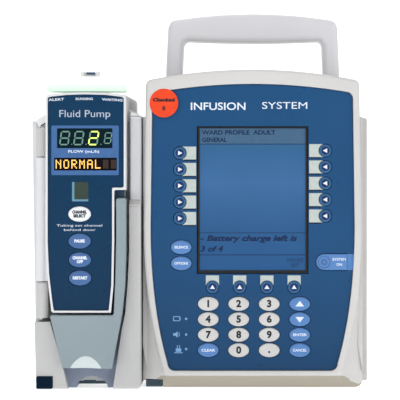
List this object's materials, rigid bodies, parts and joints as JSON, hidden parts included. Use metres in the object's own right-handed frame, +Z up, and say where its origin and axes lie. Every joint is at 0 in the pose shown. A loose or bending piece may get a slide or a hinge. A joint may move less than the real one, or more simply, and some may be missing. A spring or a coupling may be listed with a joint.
{
  "type": "infusion pump",
  "caption": "Modular infusion pump: a control unit with a screen, keypad, carrying bail and pole clamp, and a pump module with a hinged door, latch and status light on its left side.",
  "frame": {"origin": "middle of the whole assembly's footprint, on the surface that it stands on", "axes": "+Z up, the front panels face -Y, +X to the viewer's right"},
  "size_m": [0.25, 0.2144, 0.2795],
  "materials": {
    "shell": "light warm grey moulded plastic, fine texture, satin",
    "navy_panel": "navy blue printed film, satin",
    "pump_panel": "deep navy printed film, satin",
    "latch_plastic": "grey blue moulded plastic, satin",
    "dark_blue_plastic": "very dark blue moulded plastic",
    "slate_plastic": "slate blue moulded plastic",
    "key_white": "pale silicone key",
    "key_blue": "mid blue silicone key",
    "soft_key": "dark blue silicone key with a pale ring",
    "screen": "blue liquid crystal screen under a smooth window",
    "battery_wrap": "black shrink wrap",
    "steel": "ground steel",
    "cast_alloy": "cast and bead blasted aluminium",
    "rubber_pad": "black rubber",
    "black_plastic": "black moulded plastic",
    "status_lens": "milky translucent lens",
    "frame_pale": "pale grey glass filled plastic",
    "finger_plastic": "white acetal"
  },
  "bodies": {
    "pc_unit": {"pc_front_case": "shell", "pc_rear_case": "shell", "carry_handle": "shell", "pc_overlay": "navy_panel", "display_board": "screen", "battery_pack": "battery_wrap", "clamp_bracket": "cast_alloy", "power_inlet": "black_plastic", "side_connector": "black_plastic"},
    "pump_module": {"pump_case": "shell", "pump_chassis": "frame_pale", "pump_fingers": "finger_plastic", "drive_motor": "steel", "hinge_pin": "steel"},
    "door": {"pump_door": "shell", "door_overlay": "pump_panel", "status_light": "status_lens"},
    "latch": {"latch_handle": "latch_plastic"},
    "camshaft": {"camshaft": "steel"},
    "clamp_pad": {"clamp_pad": "rubber_pad"},
    "clamp_screw": {"clamp_screw": "steel"},
    "pc_release_latch": {"pc_release_latch": "slate_plastic"},
    "pump_release_latch": {"pump_release_latch": "dark_blue_plastic"},
    "soft_key_left_1": {"soft_key_left_1": "soft_key"},
    "soft_key_left_2": {"soft_key_left_2": "soft_key"},
    "soft_key_left_3": {"soft_key_left_3": "soft_key"},
    "soft_key_left_4": {"soft_key_left_4": "soft_key"},
    "soft_key_left_5": {"soft_key_left_5": "soft_key"},
    "soft_key_right_1": {"soft_key_right_1": "soft_key"},
    "soft_key_right_2": {"soft_key_right_2": "soft_key"},
    "soft_key_right_3": {"soft_key_right_3": "soft_key"},
    "soft_key_right_4": {"soft_key_right_4": "soft_key"},
    "soft_key_right_5": {"soft_key_right_5": "soft_key"},
    "soft_key_bottom_1": {"soft_key_bottom_1": "soft_key"},
    "soft_key_bottom_2": {"soft_key_bottom_2": "soft_key"},
    "soft_key_bottom_3": {"soft_key_bottom_3": "soft_key"},
    "soft_key_bottom_4": {"soft_key_bottom_4": "soft_key"},
    "key_1": {"key_1": "key_white"},
    "key_2": {"key_2": "key_white"},
    "key_3": {"key_3": "key_white"},
    "key_4": {"key_4": "key_white"},
    "key_5": {"key_5": "key_white"},
    "key_6": {"key_6": "key_white"},
    "key_7": {"key_7": "key_white"},
    "key_8": {"key_8": "key_white"},
    "key_9": {"key_9": "key_white"},
    "key_0": {"key_0": "key_white"},
    "key_point": {"key_point": "key_white"},
    "key_up": {"key_up": "key_blue"},
    "key_down": {"key_down": "key_blue"},
    "key_enter": {"key_enter": "key_blue"},
    "key_cancel": {"key_cancel": "key_blue"},
    "key_clear": {"key_clear": "key_blue"},
    "key_silence": {"key_silence": "key_blue"},
    "key_options": {"key_options": "key_blue"},
    "key_system_on": {"key_system_on": "key_blue"},
    "key_channel_select": {"key_channel_select": "key_white"},
    "key_pause": {"key_pause": "key_blue"},
    "key_channel_off": {"key_channel_off": "key_blue"},
    "key_restart": {"key_restart": "key_blue"}
  },
  "joints": [
    {"name": "module_swing", "type": "hinge", "parent": "pc_unit", "child": "pump_module", "pos_m": [-0.048, -0.03775, 0.199], "axis": [0, 1, 0], "range_deg": [0, 30]},
    {"name": "door_hinge", "type": "hinge", "parent": "pump_module", "child": "door", "pos_m": [-0.1159, -0.09575, 0.124], "axis": [0, 0, -1], "range_deg": [0, 110]},
    {"name": "latch_lift", "type": "hinge", "parent": "door", "child": "latch", "pos_m": [-0.0568, -0.09775, 0.135], "axis": [-1, 0, 0], "range_deg": [0, 45]},
    {"name": "camshaft_spin", "type": "hinge", "parent": "pump_module", "child": "camshaft", "pos_m": [-0.0825, -0.03775, 0.12], "axis": [0, 0, 1], "continuous": true},
    {"name": "clamp_travel", "type": "slide", "parent": "pc_unit", "child": "clamp_pad", "axis": [-1, 0, 0], "range_m": [0, 0.0216]},
    {"name": "clamp_screw_turn", "type": "hinge", "parent": "clamp_pad", "child": "clamp_screw", "pos_m": [0.0885, 0.08525, 0.116], "axis": [-1, 0, 0], "range_deg": [0, 2600]},
    {"name": "pc_release", "type": "slide", "parent": "pc_unit", "child": "pc_release_latch", "axis": [0, 1, 0], "range_m": [0, 0.003], "stiffness_N_per_m": 500},
    {"name": "pump_release", "type": "slide", "parent": "pump_module", "child": "pump_release_latch", "axis": [0, 1, 0], "range_m": [0, 0.003], "stiffness_N_per_m": 500},
    {"name": "soft_key_left_1_press", "type": "slide", "parent": "pc_unit", "child": "soft_key_left_1", "axis": [0, 1, 0], "range_m": [0, 0.0008], "stiffness_N_per_m": 2000},
    {"name": "soft_key_left_2_press", "type": "slide", "parent": "pc_unit", "child": "soft_key_left_2", "axis": [0, 1, 0], "range_m": [0, 0.0008], "stiffness_N_per_m": 2000},
    {"name": "soft_key_left_3_press", "type": "slide", "parent": "pc_unit", "child": "soft_key_left_3", "axis": [0, 1, 0], "range_m": [0, 0.0008], "stiffness_N_per_m": 2000},
    {"name": "soft_key_left_4_press", "type": "slide", "parent": "pc_unit", "child": "soft_key_left_4", "axis": [0, 1, 0], "range_m": [0, 0.0008], "stiffness_N_per_m": 2000},
    {"name": "soft_key_left_5_press", "type": "slide", "parent": "pc_unit", "child": "soft_key_left_5", "axis": [0, 1, 0], "range_m": [0, 0.0008], "stiffness_N_per_m": 2000},
    {"name": "soft_key_right_1_press", "type": "slide", "parent": "pc_unit", "child": "soft_key_right_1", "axis": [0, 1, 0], "range_m": [0, 0.0008], "stiffness_N_per_m": 2000},
    {"name": "soft_key_right_2_press", "type": "slide", "parent": "pc_unit", "child": "soft_key_right_2", "axis": [0, 1, 0], "range_m": [0, 0.0008], "stiffness_N_per_m": 2000},
    {"name": "soft_key_right_3_press", "type": "slide", "parent": "pc_unit", "child": "soft_key_right_3", "axis": [0, 1, 0], "range_m": [0, 0.0008], "stiffness_N_per_m": 2000},
    {"name": "soft_key_right_4_press", "type": "slide", "parent": "pc_unit", "child": "soft_key_right_4", "axis": [0, 1, 0], "range_m": [0, 0.0008], "stiffness_N_per_m": 2000},
    {"name": "soft_key_right_5_press", "type": "slide", "parent": "pc_unit", "child": "soft_key_right_5", "axis": [0, 1, 0], "range_m": [0, 0.0008], "stiffness_N_per_m": 2000},
    {"name": "soft_key_bottom_1_press", "type": "slide", "parent": "pc_unit", "child": "soft_key_bottom_1", "axis": [0, 1, 0], "range_m": [0, 0.0008], "stiffness_N_per_m": 2000},
    {"name": "soft_key_bottom_2_press", "type": "slide", "parent": "pc_unit", "child": "soft_key_bottom_2", "axis": [0, 1, 0], "range_m": [0, 0.0008], "stiffness_N_per_m": 2000},
    {"name": "soft_key_bottom_3_press", "type": "slide", "parent": "pc_unit", "child": "soft_key_bottom_3", "axis": [0, 1, 0], "range_m": [0, 0.0008], "stiffness_N_per_m": 2000},
    {"name": "soft_key_bottom_4_press", "type": "slide", "parent": "pc_unit", "child": "soft_key_bottom_4", "axis": [0, 1, 0], "range_m": [0, 0.0008], "stiffness_N_per_m": 2000},
    {"name": "key_1_press", "type": "slide", "parent": "pc_unit", "child": "key_1", "axis": [0, 1, 0], "range_m": [0, 0.0008], "stiffness_N_per_m": 2000},
    {"name": "key_2_press", "type": "slide", "parent": "pc_unit", "child": "key_2", "axis": [0, 1, 0], "range_m": [0, 0.0008], "stiffness_N_per_m": 2000},
    {"name": "key_3_press", "type": "slide", "parent": "pc_unit", "child": "key_3", "axis": [0, 1, 0], "range_m": [0, 0.0008], "stiffness_N_per_m": 2000},
    {"name": "key_4_press", "type": "slide", "parent": "pc_unit", "child": "key_4", "axis": [0, 1, 0], "range_m": [0, 0.0008], "stiffness_N_per_m": 2000},
    {"name": "key_5_press", "type": "slide", "parent": "pc_unit", "child": "key_5", "axis": [0, 1, 0], "range_m": [0, 0.0008], "stiffness_N_per_m": 2000},
    {"name": "key_6_press", "type": "slide", "parent": "pc_unit", "child": "key_6", "axis": [0, 1, 0], "range_m": [0, 0.0008], "stiffness_N_per_m": 2000},
    {"name": "key_7_press", "type": "slide", "parent": "pc_unit", "child": "key_7", "axis": [0, 1, 0], "range_m": [0, 0.0008], "stiffness_N_per_m": 2000},
    {"name": "key_8_press", "type": "slide", "parent": "pc_unit", "child": "key_8", "axis": [0, 1, 0], "range_m": [0, 0.0008], "stiffness_N_per_m": 2000},
    {"name": "key_9_press", "type": "slide", "parent": "pc_unit", "child": "key_9", "axis": [0, 1, 0], "range_m": [0, 0.0008], "stiffness_N_per_m": 2000},
    {"name": "key_0_press", "type": "slide", "parent": "pc_unit", "child": "key_0", "axis": [0, 1, 0], "range_m": [0, 0.0008], "stiffness_N_per_m": 2000},
    {"name": "key_point_press", "type": "slide", "parent": "pc_unit", "child": "key_point", "axis": [0, 1, 0], "range_m": [0, 0.0008], "stiffness_N_per_m": 2000},
    {"name": "key_up_press", "type": "slide", "parent": "pc_unit", "child": "key_up", "axis": [0, 1, 0], "range_m": [0, 0.0008], "stiffness_N_per_m": 2000},
    {"name": "key_down_press", "type": "slide", "parent": "pc_unit", "child": "key_down", "axis": [0, 1, 0], "range_m": [0, 0.0008], "stiffness_N_per_m": 2000},
    {"name": "key_enter_press", "type": "slide", "parent": "pc_unit", "child": "key_enter", "axis": [0, 1, 0], "range_m": [0, 0.0008], "stiffness_N_per_m": 2000},
    {"name": "key_cancel_press", "type": "slide", "parent": "pc_unit", "child": "key_cancel", "axis": [0, 1, 0], "range_m": [0, 0.0008], "stiffness_N_per_m": 2000},
    {"name": "key_clear_press", "type": "slide", "parent": "pc_unit", "child": "key_clear", "axis": [0, 1, 0], "range_m": [0, 0.0008], "stiffness_N_per_m": 2000},
    {"name": "key_silence_press", "type": "slide", "parent": "pc_unit", "child": "key_silence", "axis": [0, 1, 0], "range_m": [0, 0.0008], "stiffness_N_per_m": 2000},
    {"name": "key_options_press", "type": "slide", "parent": "pc_unit", "child": "key_options", "axis": [0, 1, 0], "range_m": [0, 0.0008], "stiffness_N_per_m": 2000},
    {"name": "key_system_on_press", "type": "slide", "parent": "pc_unit", "child": "key_system_on", "axis": [0, 1, 0], "range_m": [0, 0.0008], "stiffness_N_per_m": 2000},
    {"name": "key_channel_select_press", "type": "slide", "parent": "door", "child": "key_channel_select", "axis": [0, 1, 0], "range_m": [0, 0.0008], "stiffness_N_per_m": 2000},
    {"name": "key_pause_press", "type": "slide", "parent": "door", "child": "key_pause", "axis": [0, 1, 0], "range_m": [0, 0.0008], "stiffness_N_per_m": 2000},
    {"name": "key_channel_off_press", "type": "slide", "parent": "door", "child": "key_channel_off", "axis": [0, 1, 0], "range_m": [0, 0.0008], "stiffness_N_per_m": 2000},
    {"name": "key_restart_press", "type": "slide", "parent": "door", "child": "key_restart", "axis": [0, 1, 0], "range_m": [0, 0.0008], "stiffness_N_per_m": 2000}
  ],
  "couplings": [
    {"joint": "clamp_screw_turn", "follows": "clamp_travel", "rad_per_m": 2094.4}
  ]
}
